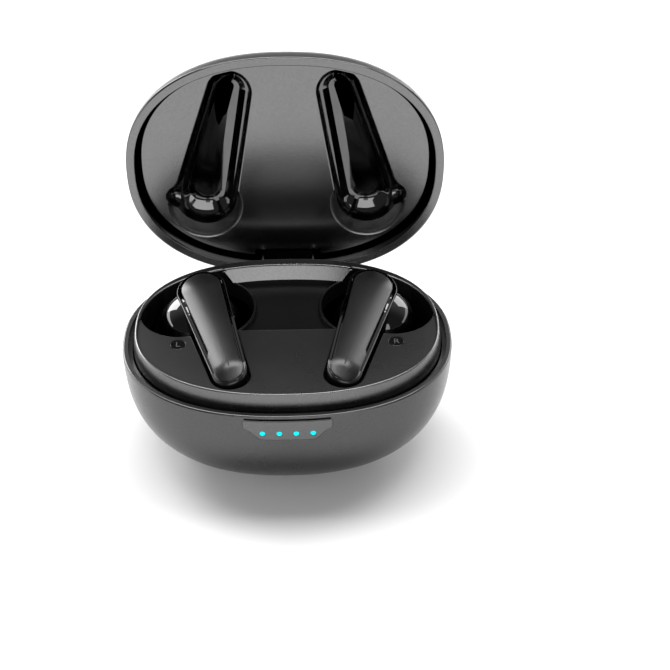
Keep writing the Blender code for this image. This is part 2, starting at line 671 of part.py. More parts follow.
def make_bud(side):
    word = side_word(side)
    head = at_side(HEAD, side)
    axis = at_side(NOZZLE_AXIS, side)
    stem_steps = ((0.9, "flat", STEM_BOTTOM), (0.25, "flat", 22.6), (0.0, "flat", 23.2),
                  (0.0, "sloped", PLATE_THICK + GAP))

    housing = loft(f"bud_{word}_housing", stem_rings(side, stem_steps), "gloss")
    keep_inside(housing, half_space(f"stem_part_{word}", side, CAP_SPLIT, False))
    join(housing, ellipsoid(f"head_{word}", head, HEAD_R))
    join(housing, cylinder(f"nozzle_{word}", head + axis * 4.0, head + axis * NOZZLE_END, NOZZLE_R))
    channel = loft(f"channel_{word}", stem_rings(side, ((1.2, "flat", 23.5), (1.0, "sloped", -3.0))))
    keep_inside(channel, half_space(f"channel_part_{word}", side, CAP_SPLIT + 1.0, False))
    cut(housing, channel)
    cut(housing, ellipsoid(f"head_space_{word}", head, [r - HEAD_WALL for r in HEAD_R]))
    cut(housing, cylinder(f"nozzle_bore_{word}", head, head + axis * (NOZZLE_END + 2.0), NOZZLE_BORE))
    cut(housing, cylinder(f"mesh_seat_{word}", head + axis * (NOZZLE_END - 0.6),
                          head + axis * (NOZZLE_END + 2.0), NOZZLE_BORE + 0.4))

    cap = loft(f"bud_{word}_stem_cap", stem_rings(side, stem_steps), "satin")
    keep_inside(cap, half_space(f"cap_part_{word}", side, CAP_SPLIT - GAP, True))

    plate_steps = ((0.0, "sloped", PLATE_THICK), (0.0, "sloped", 0.7), (0.35, "sloped", 0.25),
                   (1.0, "sloped", 0.0))
    loft(f"bud_{word}_face_plate", stem_rings(side, plate_steps), "plate")

    turned(f"bud_{word}_ear_tip",
           ((2.9, 12.2), (4.2, 12.0), (5.2, 10.9), (5.7, 9.4), (5.75, 8.5), (5.25, 8.5), (4.95, 9.6),
            (4.2, 10.5), (3.6, 10.3), (3.6, 8.7), (2.9, 8.7)), head, axis, "silicone", segments=20)
    cylinder(f"bud_{word}_nozzle_mesh", head + axis * (NOZZLE_END - 0.3),
             head + axis * (NOZZLE_END - 0.05), NOZZLE_BORE + 0.1, "steel")
    cylinder(f"bud_{word}_driver", head + axis * 0.9, head + axis * 3.2, 4.6, "steel")
    cylinder(f"bud_{word}_cell", head - axis * 3.3, head + axis * 0.4, 4.4, "cell")

    board_low = at_side(stem_point(6.0), side)
    board_high = at_side(stem_point(13.5), side)
    across = (board_high - board_low).orthogonal().normalized() * 1.4
    corners = [board_low + across, board_low - across, board_high - across, board_high + across]
    prism(f"bud_{word}_board", [(p.x, p.y) for p in corners], 25.4, 26.1, "board", smooth=False)
    spot = at_side(stem_point(MAGNET_AT), side)
    cylinder(f"bud_{word}_magnet", (*spot, 23.8), (*spot, 25.1), 1.5, "magnet")
    for i, along in enumerate(CONTACT_AT):
        spot = at_side(stem_point(along), side)
        cut(housing, cylinder(f"pad_seat_{word}_{i + 1}", (*spot, 20.0), (*spot, 23.05), 1.2, segments=12))
        cylinder(f"bud_{word}_contact_{i + 1}", (*spot, 22.2), (*spot, 22.75), 0.9, "gold", segments=16)


def main():
    make_base_shell()
    make_led_window()
    make_tray()
    make_power_parts()
    make_port()
    make_lid()
    for side in (-1, 1):
        make_well(side)
        make_side_mark(side)
        make_pin_set(side)
        make_base_magnets(side)
        make_bud(side)


main()
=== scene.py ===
"""Looks of the wireless earbuds case.

Driving sizes are in millimetres and become metres through MM. X points to the right,
Y to the back (the hinge side) and Z up, as in the frame. The lid's pieces are made shut
and then turned open about the hinge.
"""
import math

import bmesh
import bpy
from mathutils import Matrix, Vector


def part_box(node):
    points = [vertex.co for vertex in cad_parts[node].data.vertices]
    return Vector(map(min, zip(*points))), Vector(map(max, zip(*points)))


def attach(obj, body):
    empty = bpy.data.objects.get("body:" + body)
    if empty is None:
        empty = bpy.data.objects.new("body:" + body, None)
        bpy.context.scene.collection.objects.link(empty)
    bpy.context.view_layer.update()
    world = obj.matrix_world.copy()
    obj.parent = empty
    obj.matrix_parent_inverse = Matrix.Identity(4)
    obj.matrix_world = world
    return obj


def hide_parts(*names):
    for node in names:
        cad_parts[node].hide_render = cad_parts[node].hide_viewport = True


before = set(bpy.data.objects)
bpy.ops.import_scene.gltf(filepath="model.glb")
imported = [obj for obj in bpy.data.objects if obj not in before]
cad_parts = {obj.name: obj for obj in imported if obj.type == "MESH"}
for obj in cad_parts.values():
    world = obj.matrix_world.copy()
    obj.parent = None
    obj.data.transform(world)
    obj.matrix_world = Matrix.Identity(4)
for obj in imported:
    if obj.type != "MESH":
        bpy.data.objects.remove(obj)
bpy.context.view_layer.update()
MM = 0.001


def node_box(node):
    """Lowest and highest corners of a CAD node, in millimetres."""
    low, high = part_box(node)
    return Vector(low) / MM, Vector(high) / MM


# ---- driving sizes (mm), the first ones from the frame ----
SHELL_LOW, SHELL_HIGH = node_box("base_shell")
HALF_X = SHELL_HIGH.x  # half width of the case at the parting plane
HALF_Y = -SHELL_LOW.y  # half depth of the case at the parting plane
BASE_H = SHELL_HIGH.z  # height of the base's parting plane
TRAY_LOW, TRAY_HIGH = node_box("tray")
LIP_TOP = TRAY_HIGH.z
TRAY_BOTTOM = TRAY_LOW.z

PLAN_POWER = 2.3  # superellipse power of the oval plan
RIM_GAP = 0.3  # open seam between the shut lid and the base
LID_H = 13.0
BOWL_POWER = 2.8
BOWL_REACH = 1.06  # depth at which the bowl would close, over its height
DOME_POWER = 2.5
DOME_REACH = 1.0  # the same for the outside of the lid
LID_INNER_POWER = 3.0
LID_INNER_REACH = 1.03
BASE_WALL = 1.8
BASE_FLOOR = 1.6
LID_WALL = 1.7
LID_ROOF = 1.4
EDGE = 0.35  # rounding of the base's and the lid's outer rim
FOOT_EDGE = 0.9  # rounding round the base's foot
FOOT_LINE = 1.0  # inset of the open line between the base's rim and the lip
FOOT_LINE_DEPTH = 0.8

# LED window, thumb slot and port
WINDOW_HALF = 8.0  # half width of the window at its top
WINDOW_TOP = 21.9
WINDOW_LOW = 17.5
WINDOW_UPRIGHT = 20.4  # its sides are upright down to here
WINDOW_SLANT = 19.9  # its lower corners start here
WINDOW_STEP = 0.4  # and step in by this much
WINDOW_CORNER = 3.0  # width of each lower corner
WINDOW_GAP = 0.06
WINDOW_BACK = -19.0  # its cutters run from CUT_FRONT to here
CUT_FRONT = -26.0  # cutters through the front wall start here
LED_GAP = 0.05
LED_DOME = 0.12  # height of a light pipe's domed end
SLOT_HALF = 7.5
SLOT_Z = 22.3
SLOT_R = 0.22
SLOT_BACK = -22.75
PORT_HALF_X = 4.85
PORT_HALF_Z = 2.0
PORT_Z = 9.5

# tray
DECK_TOP = 25.5
DECK_BACK = 2.0  # the deck is level with the lip behind this line
LIP_INSET = 2.1  # lip's outer wall, inside the case's outline
LIP_LEAN = 0.4  # the lip's outer wall leans in by this much
LIP_ROUND = 0.3  # rounding of its upper edge
LIP_FLAT = 3.0  # inner edge of the lip's top, inside the case's outline
PAN_TOP = 22.5  # floor of the middle recess
PAN_HALF = 13.5
RECESS_FRONT = -1.0
FRONT_ROUND = 0.9  # rounding of the deck's edge over the recess
RIM_TOP = 23.5  # top of the thin rims between the recess and the wells
RIM_WALL = 0.55
TRENCH_FLOOR = 21.6
TRENCH_GAP = 0.5  # clearance of the trench round the stem's tip
TRENCH_REACH = 17.0  # the trench runs this far along the stem
TRENCH_WIDEN = 0.85  # and is wider there by this much
TRENCH_ROUND = 0.25
RING_X = 27.8
RING_Y = 19.1
SLOPE_RUN = 1.7  # the ring's inner wall slopes in by this much
SLOPE_FOOT = 23.4
MARK = (-20.2, -5.6)  # centre of the left side mark
MARK_R = 1.36
MARK_GAP = 0.06
MARK_SEAT = 24.6
LETTER = 1.9  # height of the mark's letter
PIN_BORE = 0.8  # radius of the bore round a charging pin

# hinge and lid liner
HINGE_Y = 22.27
HINGE_Z = 21.3
OPEN_ANGLE = 94.0
NOTCH_HALF = 9.1
LINER_NOTCH = 6.75
LEAF_HALF = 5.3
LINER_Z = 26.5
LINER_THICK = 1.2
LINER_X = 28.4
LINER_Y = 21.0
LINER_GAP = 0.4  # between the liner's tubs and the lid's wall
TUB_WALL = 0.8

# Spaces that clear the hinge, as the lowest and highest corner of each box.
BASE_HINGE_SPACES = (
    ((-NOTCH_HALF, 20.9, 19.9), (NOTCH_HALF, 25.0, 26.0)),
    ((-NOTCH_HALF, 19.0, 15.2), (NOTCH_HALF, 21.2, 19.1)),
    ((-NOTCH_HALF, 19.0, 18.8), (NOTCH_HALF, 21.6, 20.4)),
)
TRAY_HINGE_SPACE = ((-NOTCH_HALF, 20.4, 15.0), (NOTCH_HALF, 25.0, 22.75))
LID_HINGE_SPACES = (
    ((-LEAF_HALF, 19.0, 20.0), (LEAF_HALF, 22.7, 26.0)),
    ((-LEAF_HALF, 19.0, 25.0), (LEAF_HALF, 22.3, 27.7)),
)
LINER_HINGE_SPACE = ((-LINER_NOTCH, 19.4, 20.0), (LINER_NOTCH, 30.0, 40.0))

# Recesses in the liner, on the left: two circles span each, as (x, y), radius.
GROOVE = ((-10.5, -15.1), 4.25, (-16.1, 7.1), 6.1)
LOBE = ((-21.5, 7.2), 2.3, (-14.3, 8.9), 3.6)
RECESS_ROUND = 0.35  # rounding of a recess's mouth
LOBE_DEPTH = 1.2
LOBE_COVE = 1.9
# Section of a stem groove: inset from its mouth, then its depth behind the liner's face on the
# side towards the case's middle, on the outer side and at the heel (mm).
GROOVE_SECTION = (
    (0.1, 1.35, 1.4, 1.8),
    (0.3, 1.75, 2.1, 2.4),
    (0.95, 2.2, 3.1, 2.95),
    (1.2, 2.42, 3.4, 3.1),
    (2.3, 3.45, 4.0, 3.75),
    (2.45, 3.55, 4.05, 3.85),
    (3.95, 4.1, 4.2, 4.3),
)
GROOVE_LEAN = math.radians(12.0)  # the groove's long axis leans from Y by this
ROOF_RISE = 0.05  # the groove deepens towards the hinge
DISH = (-16.2, 8.9)  # centre of the left finger dish, round the heel of its groove
DISH_R = 7.6
DISH_COVE = 1.2
DISH_EDGE_ANGLE = math.radians(24.0)

# Left earbud: two circles span the stem seen from above, the tip and the heel.
TIP = Vector((-10.35, -14.4))
TIP_R = 3.15
HEEL = Vector((-16.5, 8.2))
HEEL_R = 4.65
STEM_LENGTH = (HEEL - TIP).length
STEM_AXIS = (HEEL - TIP).normalized()
STEM_ACROSS = Vector((-STEM_AXIS.y, STEM_AXIS.x))
STEM_BOTTOM = 22.2
STEM_BELLY = 1.1  # rounding of the stem's underside
STEM_TOP = 28.6
STEM_SLOPE = 0.07
CROWN = 1.0  # how far the stem's sides lie below its ridge
CROWN_LEAN = 0.7  # lower by this much on the outer side, higher on the inner side
TIP_FALL = 0.11  # rounding of the tip, per square millimetre, from this station on
TIP_FALL_FROM = 1.3
TIP_SLOPE = 0.42  # steepest slope of the tip
HEEL_FALL = 0.03
HEEL_FALL_FROM = 0.5
RIM_THICK = 0.5  # width of the housing's rim round the face plate
RIM_ROUND = 0.14  # rounding of the rim's outer edge
TIP_ROUND = 0.28  # added to it round the tip
RIM_CHAMFER = 0.08
SLIT = 0.42  # width of the slit between the rim and the face plate
SLIT_DEPTH = 1.1
SLIT_END_OUT = 5.2  # station where the slit ends on the outer side
SLIT_END_IN = 0.6  # station where it ends on the inner side
SLIT_EASE = 0.35
PLATE_GAP = 0.01
PLATE_ROUND = 0.12
PLATE_PROUD = 0.02  # the face plate stands this far over the rim
CAP_SPLIT = 0.45  # station of the seam between the cap and the housing
CAP_SEAM = 0.04
HEAD = Vector((-17.0, 6.3, 20.8))
HEAD_R = Vector((8.2, 7.6, 6.8))
NOZZLE_AXIS = Vector((0.15, 0.08, -0.985)).normalized()
# Turned profiles as (radius, distance from the head's centre along the nozzle).
NOZZLE = ((3.2, 5.2), (2.75, 6.6), (2.6, 7.6), (2.6, 10.7), (2.45, 11.0))
NOZZLE_BORE = ((1.7, 4.0), (1.7, 10.4), (2.1, 10.4), (2.1, 13.0))
EAR_TIP = (  # a sleeve with an umbrella skirt
    (2.95, 12.2), (3.6, 12.22), (4.2, 12.0), (4.75, 11.55), (5.2, 10.9), (5.5, 10.2), (5.68, 9.4),
    (5.75, 8.8), (5.72, 8.55), (5.55, 8.45), (5.3, 8.6), (5.2, 9.1), (4.95, 9.8), (4.5, 10.3),
    (4.1, 10.45), (3.7, 10.3), (3.5, 9.9), (3.45, 8.8), (3.35, 8.65), (2.95, 8.65),
)
PAD_SEAT_R = 1.05  # seats of the charging contacts under the stem
PAD_SEAT_TOP = 22.95

# Left well: (height, circle a, circle b) with each circle as (x, y, radius).
WELL_A = (-20.0, 4.8, 8.0)
WELL_B = (-16.3, 8.3, 9.8)
WELL_SECTIONS = (
    (20.4, WELL_A, WELL_B),
    (14.0, (-19.0, 5.5, 7.0), (-16.2, 8.4, 9.4)),
    (9.5, (-16.5, 6.8, 6.3), (-15.2, 8.0, 7.4)),
    (7.3, (-15.5, 7.2, 5.2), (-14.8, 7.6, 6.0)),
    (6.3, (-15.2, 7.3, 3.4), (-14.8, 7.5, 4.0)),
)
WELL_WALL = 0.8
WELL_ROUND = 0.3  # rounding of the well's mouth

OVAL_STEPS = 192
CAPSULE_STEPS = 96
ROUND_STEPS = 48
HEAD_STEPS = 72
HEAD_RINGS = 44
STEM_STEPS = 128
SIDE_STEPS = 48  # corners along each straight side of the stem
PLATE_STEPS = 20  # rings of the face plate, from its edge to its ridge

# camera and floor
CAMERA_PLACE = Vector((3.802, -198.094, 177.596))
CAMERA_RIGHT = Vector((0.99966, -0.02608, 0.0)).normalized()
CAMERA_BACK = Vector((-0.02055, -0.78774, 0.61566)).normalized()
CAMERA_LENS = 71.3
FLOOR_HALF = 6000.0


# ---- outlines ----
def oval(half_x, half_y):
    """Corners of a superellipse, anticlockwise from +X."""
    points = []
    for i in range(OVAL_STEPS):
        angle = 2.0 * math.pi * i / OVAL_STEPS
        c = math.cos(angle)
        s = math.sin(angle)
        points.append((half_x * math.copysign(abs(c) ** (2.0 / PLAN_POWER), c),
                       half_y * math.copysign(abs(s) ** (2.0 / PLAN_POWER), s)))
    return points


def capsule(centre_a, radius_a, centre_b, radius_b, count=CAPSULE_STEPS):
    """Corners of the convex outline round two circles, with even turns at both ends."""
    a = Vector(centre_a)
    b = Vector(centre_b)
    points = []
    for i in range(count):
        angle = 2.0 * math.pi * i / count
        normal = Vector((math.cos(angle), math.sin(angle)))
        if normal.dot(a) + radius_a > normal.dot(b) + radius_b:
            point = a + normal * radius_a
        else:
            point = b + normal * radius_b
        points.append((point.x, point.y))
    return points


def flip(points, side):
    """Mirror outline points given for the left side (side -1) to the right one (+1)."""
    return [(-side * x, *rest) for x, *rest in points]


def level(points, z):
    return [(x, y, z) for x, y in points]


def at_side(point, side):
    return Vector((-side * point[0], *point[1:]))


def side_word(side):
    return "left" if side < 0 else "right"


def inset_oval(inset, z):
    return level(oval(HALF_X - inset, HALF_Y - inset), z)


def circle(centre, radius, count=ROUND_STEPS):
    return [(centre[0] + radius * math.cos(2 * math.pi * i / count),
             centre[1] + radius * math.sin(2 * math.pi * i / count)) for i in range(count)]


def ease(value, low, high):
    """0 below low, 1 above high and a smooth step between them."""
    t = min(1.0, max(0.0, (value - low) / (high - low)))
    return t * t * (3.0 - 2.0 * t)


# ---- meshes ----
def new_object(name, bm):
    bmesh.ops.recalc_face_normals(bm, faces=bm.faces)
    mesh = bpy.data.meshes.new(name)
    bm.to_mesh(mesh)
    bm.free()
    obj = bpy.data.objects.new(name, mesh)
    bpy.context.scene.collection.objects.link(obj)
    return obj


def loft(name, rings):
    """A solid through rings of equal count, with a flat cap at each end."""
    bm = bmesh.new()
    loops = [[bm.verts.new(Vector(p) * MM) for p in ring] for ring in rings]
    count = len(loops[0])
    for lower, upper in zip(loops, loops[1:]):
        for i in range(count):
            j = (i + 1) % count
            bm.faces.new((lower[i], lower[j], upper[j], upper[i]))
    bm.faces.new(loops[0][::-1])
    bm.faces.new(loops[-1])
    return new_object(name, bm)


def box(name, low, high):
    corners = [(low[0], low[1]), (high[0], low[1]), (high[0], high[1]), (low[0], high[1])]
    return loft(name, [level(corners, low[2]), level(corners, high[2])])


def turned(name, centre, axis, profile, steps=ROUND_STEPS):
    """A solid turned about an axis from a profile of (radius, distance along the axis)."""
    turn = Vector((0, 0, 1)).rotation_difference(Vector(axis)).to_matrix()
    rings = []
    for radius, along in profile:
        ring = []
        for i in range(steps):
            angle = 2.0 * math.pi * i / steps
            local = Vector((radius * math.cos(angle), radius * math.sin(angle), along))
            ring.append(Vector(centre) + turn @ local)
        rings.append(ring)
    return loft(name, rings)


def ellipsoid(name, centre, radii):
    """A closed egg shape from rings, with small flat poles."""
    profile = []
    for i in range(1, HEAD_RINGS):
        angle = math.pi * i / HEAD_RINGS
        scale = math.sin(angle)
        z = centre[2] - radii[2] * math.cos(angle)
        profile.append([(centre[0] + radii[0] * scale * math.cos(2 * math.pi * k / HEAD_STEPS),
                         centre[1] + radii[1] * scale * math.sin(2 * math.pi * k / HEAD_STEPS), z)
                        for k in range(HEAD_STEPS)])
    return loft(name, profile)


def boolean(obj, other, operation):
    modifier = obj.modifiers.new(operation.lower(), "BOOLEAN")
    modifier.object = other
    modifier.operation = operation
    modifier.solver = "EXACT"
    settle(obj)
    bpy.data.objects.remove(other, do_unlink=True)
    return obj


def settle(obj):
    """Apply the object's modifiers to its mesh."""
    graph = bpy.context.evaluated_depsgraph_get()
    mesh = bpy.data.meshes.new_from_object(obj.evaluated_get(graph))
    obj.modifiers.clear()
    obj.data = mesh
    return obj


def cut(obj, *cutters):
    for cutter in cutters:
        boolean(obj, cutter, "DIFFERENCE")
    return obj


def join(obj, *others):
    for other in others:
        boolean(obj, other, "UNION")
    return obj


def keep_inside(obj, other):
    return boolean(obj, other, "INTERSECT")


def finish(obj, mat, body, stands_for=(), sharp=32.0, matrix=None):
    """Smooth shading that keeps flats flat, the material, and the piece's place in the frame."""
    if matrix is not None:
        obj.data.transform(matrix)
    obj.data.materials.clear()
    obj.data.materials.append(mat)
    for polygon in obj.data.polygons:
        polygon.material_index = 0
    obj.data.shade_smooth()
    obj.data.set_sharp_from_angle(angle=math.radians(sharp))
    weighted = obj.modifiers.new("flat_faces", "WEIGHTED_NORMAL")
    weighted.keep_sharp = True
    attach(obj, body)
    if stands_for:
        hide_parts(*stands_for)
    return obj


def arc_steps(count):
    """Pairs (1 - cos, sin) round a quarter turn."""
    return [(1.0 - math.cos(0.5 * math.pi * i / count), math.sin(0.5 * math.pi * i / count))
            for i in range(count + 1)]


def mouth(outline, low, top, radius, steps=5):
    """Rings of a cutter with a rounded mouth. outline(grow) gives its plan."""
    rings = [level(outline(0.0), low)]
    for grow, rise in arc_steps(steps):
        rings.append(level(outline(radius * grow), top - radius + radius * rise))
    rings.append(level(outline(radius), top + 6.0))
    return rings


# ---- materials ----
def fill(node, **values):
    """Set a node's inputs, whose names are given with underscores for spaces."""
    for key, value in values.items():
        node.inputs[key.replace("_", " ")].default_value = value


class Nodes:
    """Builds a material's node tree."""

    def __init__(self, name):
        self.material = bpy.data.materials.new(name)
        self.material.use_nodes = True
        self.tree = self.material.node_tree
        self.shader = self.tree.nodes["Principled BSDF"]
        self.coords = self.add("ShaderNodeTexCoord").outputs["Object"]

    def add(self, kind, **settings):
        node = self.tree.nodes.new(kind)
        for key, value in settings.items():
            setattr(node, key, value)
        return node

    def link(self, output, target):
        self.tree.links.new(output, target)

    def noise(self, scale, detail=3.0):
        node = self.add("ShaderNodeTexNoise")
        fill(node, Scale=scale, Detail=detail, Roughness=0.55)
        self.link(self.coords, node.inputs["Vector"])
        return node.outputs["Fac"]

    def spread(self, value, low, high):
        """Map a noise value, mostly 0.25 to 0.75, onto low to high."""
        node = self.add("ShaderNodeMapRange")
        fill(node, From_Min=0.25, From_Max=0.75, To_Min=low, To_Max=high)
        self.link(value, node.inputs["Value"])
        return node.outputs["Result"]

    def blend(self, value, colour_a, colour_b):
        node = self.add("ShaderNodeMix", data_type="RGBA")
        fill(node, A=(*colour_a, 1.0), B=(*colour_b, 1.0))
        self.link(value, node.inputs["Factor"])
        return node.outputs["Result"]

    def bump(self, height, strength, distance):
        node = self.add("ShaderNodeBump")
        fill(node, Strength=strength, Distance=distance)
        self.link(height, node.inputs["Height"])
        self.link(node.outputs["Normal"], self.shader.inputs["Normal"])

    def set(self, **values):
        fill(self.shader, **values)


def grey(value):
    return (value, value, value * 1.01)


def satin_plastic(name, tone, roughness, metallic=0.0, index=1.5, grain=2600.0, depth=0.00002):
    """Satin lacquered plastic: fine moulded grain and slightly uneven gloss."""
    nodes = Nodes(name)
    fine = nodes.noise(grain)
    broad = nodes.noise(90.0, 2.0)
    colour = nodes.blend(nodes.spread(fine, 0.0, 1.0), grey(tone * 0.9), grey(tone * 1.1))
    nodes.link(colour, nodes.shader.inputs["Base Color"])
    nodes.link(nodes.spread(broad, roughness - 0.02, roughness + 0.02), nodes.shader.inputs["Roughness"])
    nodes.bump(fine, 0.35, depth)
    nodes.set(Metallic=metallic, IOR=index)
    return nodes.material


def gloss_plastic(name, tone, roughness, metallic=0.0):
    """Piano-black plastic: a nearly perfect gloss with faint handling haze."""
    nodes = Nodes(name)
    haze = nodes.noise(260.0, 4.0)
    ripple = nodes.noise(70.0, 1.0)
    nodes.link(nodes.blend(haze, grey(tone), grey(tone * 1.3)), nodes.shader.inputs["Base Color"])
    nodes.link(nodes.spread(haze, roughness, roughness * 1.8), nodes.shader.inputs["Roughness"])
    nodes.bump(ripple, 0.05, 0.00002)
    nodes.set(Metallic=metallic)
    return nodes.material


def stock(name, dark, light, roughness, scale, bump, **values):
    """Specks between two colours and two roughnesses, with a bump of (strength, depth)."""
    nodes = Nodes(name)
    speck = nodes.noise(scale, 4.0)
    nodes.link(nodes.blend(speck, dark, light), nodes.shader.inputs["Base Color"])
    nodes.link(nodes.spread(speck, *roughness), nodes.shader.inputs["Roughness"])
    nodes.bump(speck, *bump)
    nodes.set(**values)
    return nodes.material


def darker(colour, share):
    return tuple(c * share for c in colour)


def rubber(name, tone):
    return stock(name, grey(tone), grey(tone * 1.5), (0.42, 0.55), 900.0, (0.2, 0.00001),
                 Sheen_Weight=0.15, Sheen_Roughness=0.4)


def metal(name, colour, roughness):
    return stock(name, darker(colour, 0.8), colour, (roughness * 0.8, roughness * 1.3), 1500.0,
                 (0.15, 0.00001), Metallic=1.0)


def plain(name, colour, roughness, metallic=0.0):
    """Moulded or printed stock for the inner pieces."""
    return stock(name, darker(colour, 0.75), colour, (roughness - 0.06, roughness + 0.06), 800.0,
                 (0.2, 0.00002), Metallic=metallic)


def wound_copper(name):
    """Turns of enamelled wire, as rings round the coil's axis."""
    nodes = Nodes(name)
    wave = nodes.add("ShaderNodeTexWave", wave_type="RINGS", rings_direction="Z")
    wave.inputs["Scale"].default_value = 700.0
    nodes.link(nodes.coords, wave.inputs["Vector"])
    colour = nodes.blend(wave.outputs["Fac"], (0.25, 0.09, 0.03), (0.72, 0.33, 0.14))
    nodes.link(colour, nodes.shader.inputs["Base Color"])
    nodes.link(nodes.spread(wave.outputs["Fac"], 0.45, 0.25), nodes.shader.inputs["Roughness"])
    nodes.bump(wave.outputs["Fac"], 0.6, 0.0001)
    nodes.set(Metallic=0.8)
    return nodes.material


def glowing(name, colour, strength):
    nodes = Nodes(name)
    cloud = nodes.noise(1200.0, 2.0)
    nodes.link(nodes.blend(cloud, colour, tuple(min(1.0, c * 1.1) for c in colour)),
               nodes.shader.inputs["Base Color"])
    nodes.link(nodes.spread(cloud, 0.25, 0.35), nodes.shader.inputs["Roughness"])
    nodes.set(Emission_Color=(*colour, 1.0), Emission_Strength=strength, Specular_IOR_Level=0.15)
    return nodes.material


MATERIALS = {
    "shell": satin_plastic("shell_satin_paint", 0.095, 0.28, 1.0),
    "lip": satin_plastic("lip_satin_paint", 0.15, 0.28, 1.0),
    "deck": satin_plastic("deck_grained", 0.007, 0.28, index=1.6, grain=2200.0, depth=0.00004),
    # the middle recess's floor and front edge: the deck's stock made darker and less shiny, painted shade
    "pan": satin_plastic("recess_painted_shade_grain", 0.002, 0.34, index=1.26, grain=2200.0, depth=0.00004),
    "liner": satin_plastic("liner_satin", 0.19, 0.21, 1.0),
    "plate": satin_plastic("face_plate_satin", 0.003, 0.3, index=1.52),
    "cap": satin_plastic("stem_cap_satin", 0.003, 0.3, index=1.52),
    "window": satin_plastic("window_smoke", 0.135, 0.26, 0.97, grain=3000.0, depth=0.00001),
    "gloss": gloss_plastic("piano_black", 0.07, 0.03, metallic=1.0),
    # a darker copy of the groove's gloss for the grooves' roofs and the side lobes: painted shade
    "lobe": gloss_plastic("recess_black_painted_shade", 0.03, 0.08, metallic=1.0),
    "groove": gloss_plastic("groove_black", 0.11, 0.06, metallic=1.0),
    "mark": gloss_plastic("mark_black", 0.003, 0.08),
    "letter": plain("mark_letter_grey", (0.05, 0.05, 0.05), 0.5),
    "tip": rubber("tip_silicone", 0.02),
    "led": glowing("led_cyan", (0.0, 0.74, 0.84), 0.55),
    "steel": metal("hinge_steel", (0.6, 0.6, 0.62), 0.3),
    "black_steel": metal("hinge_leaf_black", (0.03, 0.03, 0.031), 0.35),
    "gold": metal("contact_gold", (0.9, 0.65, 0.25), 0.22),
    "magnet": metal("magnet_nickel", (0.66, 0.65, 0.63), 0.2),
    "copper": wound_copper("coil_copper"),
    "ferrite": plain("ferrite_black", (0.03, 0.028, 0.028), 0.7),
    "board": plain("board_green", (0.01, 0.09, 0.04), 0.45),
    "cell": plain("battery_wrap", (0.32, 0.34, 0.38), 0.38, metallic=0.3),
    "block": plain("block_plastic", (0.02, 0.02, 0.021), 0.5),
}

# Material of each CAD node that stays visible, by the start of its name.
KEPT_NODES = (
    ("battery_cell", "cell"), ("main_board", "board"), ("charging_coil", "copper"),
    ("ferrite_sheet", "ferrite"), ("usb_c_shell", "steel"), ("usb_c_tongue", "ferrite"),
    ("pin_block", "block"), ("charge_pin", "gold"), ("case_magnet", "magnet"),
    ("seat_magnet", "magnet"), ("lid_magnet", "magnet"), ("hinge_pin", "steel"),
    ("hinge_bracket", "black_steel"), ("lid_hinge_leaf", "black_steel"),
)
BUD_KEPT = (
    ("nozzle_mesh", "steel"), ("driver", "steel"), ("cell", "cell"), ("board", "board"),
    ("magnet", "magnet"), ("contact", "gold"),
)


def dress_kept_nodes():
    for name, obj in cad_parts.items():
        for start, finish_name in KEPT_NODES:
            if name.startswith(start):
                put_material(obj, MATERIALS[finish_name])
        for end, finish_name in BUD_KEPT:
            for word in ("left", "right"):
                if name.startswith(f"bud_{word}_{end}"):
                    put_material(obj, MATERIALS[finish_name])


def put_material(obj, mat):
    if not obj.material_slots:
        obj.data.materials.append(mat)
    for slot in obj.material_slots:
        slot.material = mat


# ---- base ----
def section_scale(depth, full_depth, power):
    return max(0.0, 1.0 - (depth / full_depth) ** power) ** (1.0 / power)


def bowl(inset, start, height, direction, full_depth, power, steps):
    """Sections of a bowl from its rim, closer together towards its far end."""
    rings = []
    for i in range(steps + 1):
        depth = height * math.sin(0.5 * math.pi * i / steps)
        scale = section_scale(depth, full_depth, power)
        rings.append(level(oval((HALF_X - inset) * scale, (HALF_Y - inset) * scale),
                           start + direction * depth))
    return rings


def rim_rings(start, direction):
    """The rounded outer corner of a rim, from its flat land to its side."""
    return [inset_oval(EDGE * (1.0 - rise), start + direction * EDGE * grow)
            for grow, rise in arc_steps(6)]


def base_outside():
    rings = rim_rings(BASE_H, -1.0)
    side = bowl(0.0, BASE_H, BASE_H, -1.0, BASE_H * BOWL_REACH, BOWL_POWER, 44)
    side = [ring for ring in side if FOOT_EDGE < ring[0][2] < BASE_H - EDGE - 0.05]
    scale = section_scale(BASE_H - FOOT_EDGE, BASE_H * BOWL_REACH, BOWL_POWER)
    foot_scale = section_scale(BASE_H, BASE_H * BOWL_REACH, BOWL_POWER)
    rings += side
    for grow, rise in arc_steps(6):
        blend_scale = scale + (foot_scale * 0.985 - scale) * grow
        rings.append(level(oval(HALF_X * blend_scale, HALF_Y * blend_scale),
                           FOOT_EDGE * (1.0 - rise)))
    return rings


def window_outline(inset):
    """Corners of the LED window, with its lower corners rounded off, as (x, z)."""
    side = WINDOW_HALF - inset
    fall = WINDOW_LOW + inset - WINDOW_SLANT
    half = [(side, WINDOW_TOP - inset), (side, WINDOW_UPRIGHT)]
    for i in range(9):
        t = i / 8
        half.append((side - WINDOW_STEP - WINDOW_CORNER * t, WINDOW_SLANT + fall * ease(t, 0.0, 1.0)))
    return half + [(-x, z) for x, z in reversed(half)]


def along_y(name, outline, front, back):
    """A bar between two places along Y from an outline of (x, z)."""
    return loft(name, [[(x, y, z) for x, z in outline] for y in (front, back)])


def flat_round(half_x, radius, z, count):
    """Outline of a slot with round ends, as (x, z)."""
    end = half_x - radius
    return capsule((-end, z), radius, (end, z), radius, count)


def base_room(name, inset, floor, top, steps):
    """The room in the base inside a wall and above a floor."""
    height = BASE_H - floor
    return loft(name, [inset_oval(inset, top)] + bowl(
        inset, BASE_H, height, -1.0, height * BOWL_REACH, BOWL_POWER, steps))


